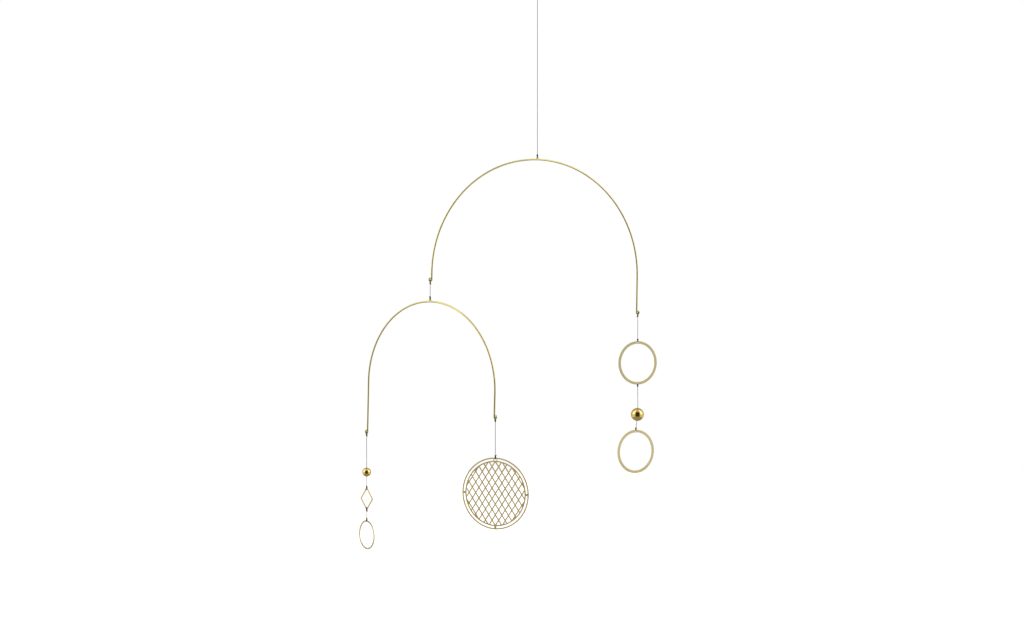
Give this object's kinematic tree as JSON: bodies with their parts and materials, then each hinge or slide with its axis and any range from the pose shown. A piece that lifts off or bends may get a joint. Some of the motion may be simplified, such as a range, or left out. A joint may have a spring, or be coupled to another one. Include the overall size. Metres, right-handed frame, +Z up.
{
  "type": "hanging mobile sculpture",
  "caption": "Hanging mobile of bent brass wire arches with flat brass rings, a lattice disc, a rhombus and bored brass balls on black threads, hung up by a loop in the top thread.",
  "frame": {"origin": "where the hanging loop at the top of the main thread bears on the hook that holds it", "axes": "+Z up along the main thread, +X to the right as the mobile is seen from the front, +Y away from the viewer"},
  "size_m": [0.4091, 0.2393, 0.7687],
  "materials": {
    "wire_brass": "polished round wire",
    "sheet_brass": "polished sheet",
    "ball_brass": "mirror polished",
    "black_thread": "twisted black thread"
  },
  "bodies": {
    "root": {"hanging_thread": "black_thread", "large_arch": "wire_brass", "link_thread": "black_thread", "small_arch": "wire_brass", "ring_thread": "black_thread", "upper_ring": "sheet_brass", "ball_thread": "black_thread", "large_ball": "ball_brass", "lower_ring": "sheet_brass", "disc_thread": "black_thread", "lattice_disc": "sheet_brass", "small_ball_thread": "black_thread", "small_ball": "ball_brass", "rhombus": "sheet_brass", "short_thread": "black_thread", "small_ring": "sheet_brass"}
  },
  "joints": []
}
